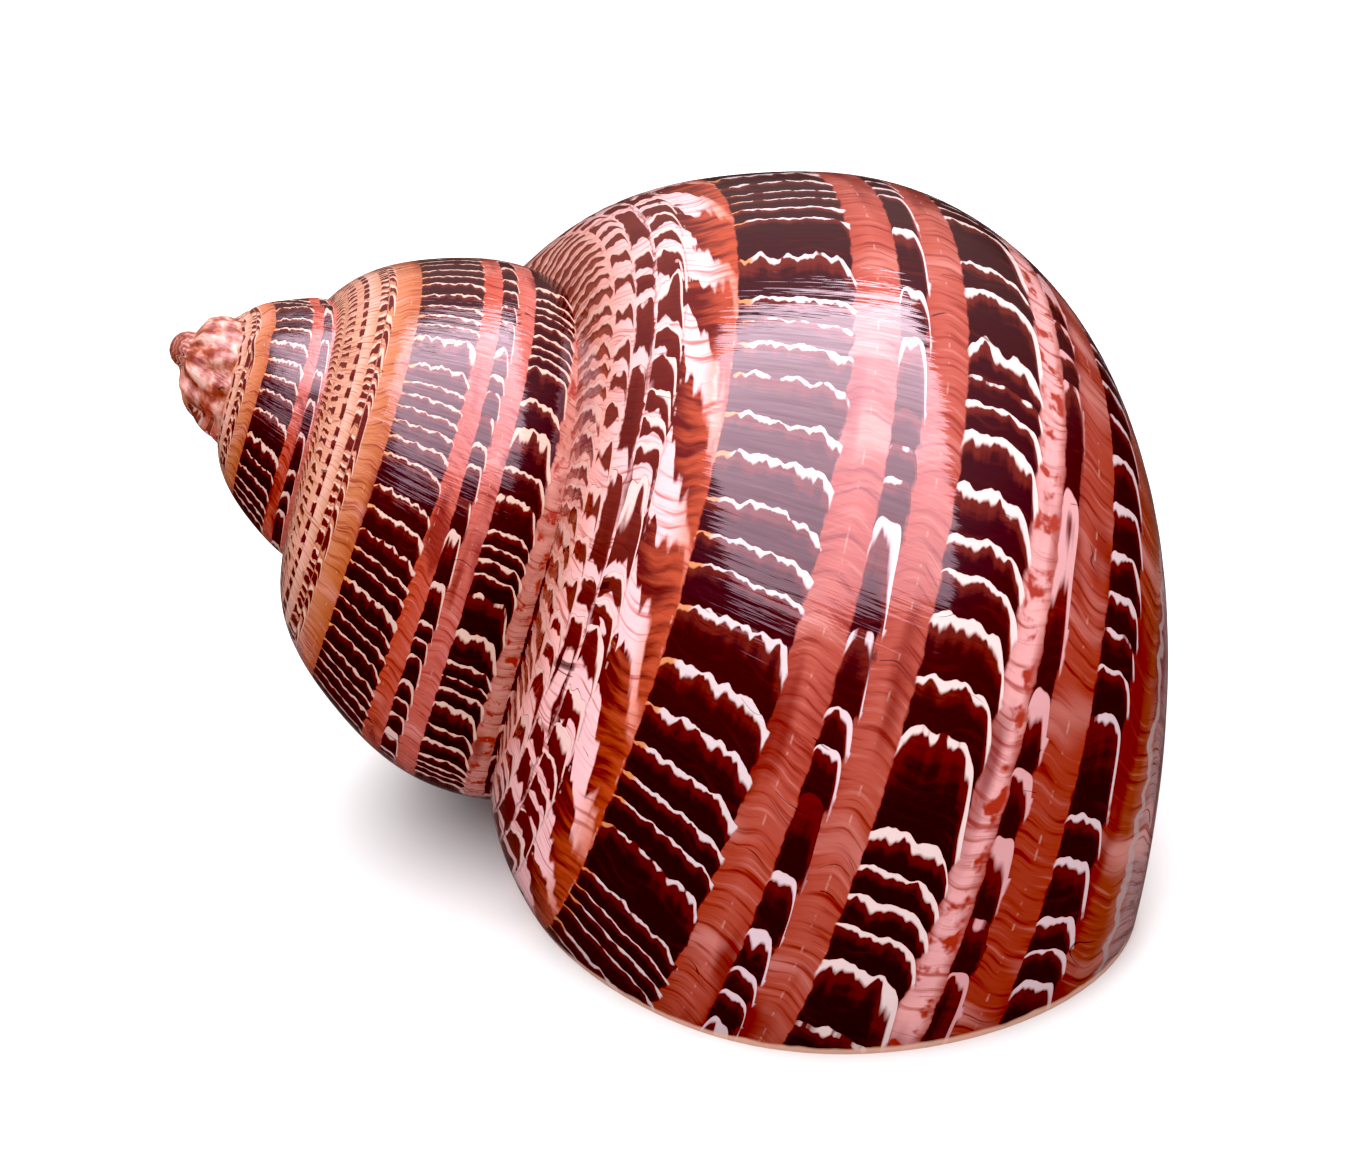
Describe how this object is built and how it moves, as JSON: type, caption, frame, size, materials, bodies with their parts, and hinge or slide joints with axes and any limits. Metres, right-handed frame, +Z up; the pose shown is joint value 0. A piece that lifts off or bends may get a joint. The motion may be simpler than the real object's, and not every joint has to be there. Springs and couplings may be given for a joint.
{
  "type": "tapestry turban shell",
  "caption": "Polished turban snail shell with spiral bands, coiled in one piece, lying on its open mouth with the spire to one side.",
  "frame": {"origin": "middle of the box that the shell fills, at the height of the lip's rim on the surface", "axes": "+Z up from the surface that the mouth lies on; the coiling axis runs from the apex at -X, raised 30 degrees, to the base at +X; the outer lip is towards -Y"},
  "size_m": [0.0566, 0.0528, 0.0369],
  "materials": {
    "polished_shell": "polished, red-brown with dark spiral bands"
  },
  "bodies": {
    "root": {"shell": "polished_shell"}
  },
  "joints": []
}
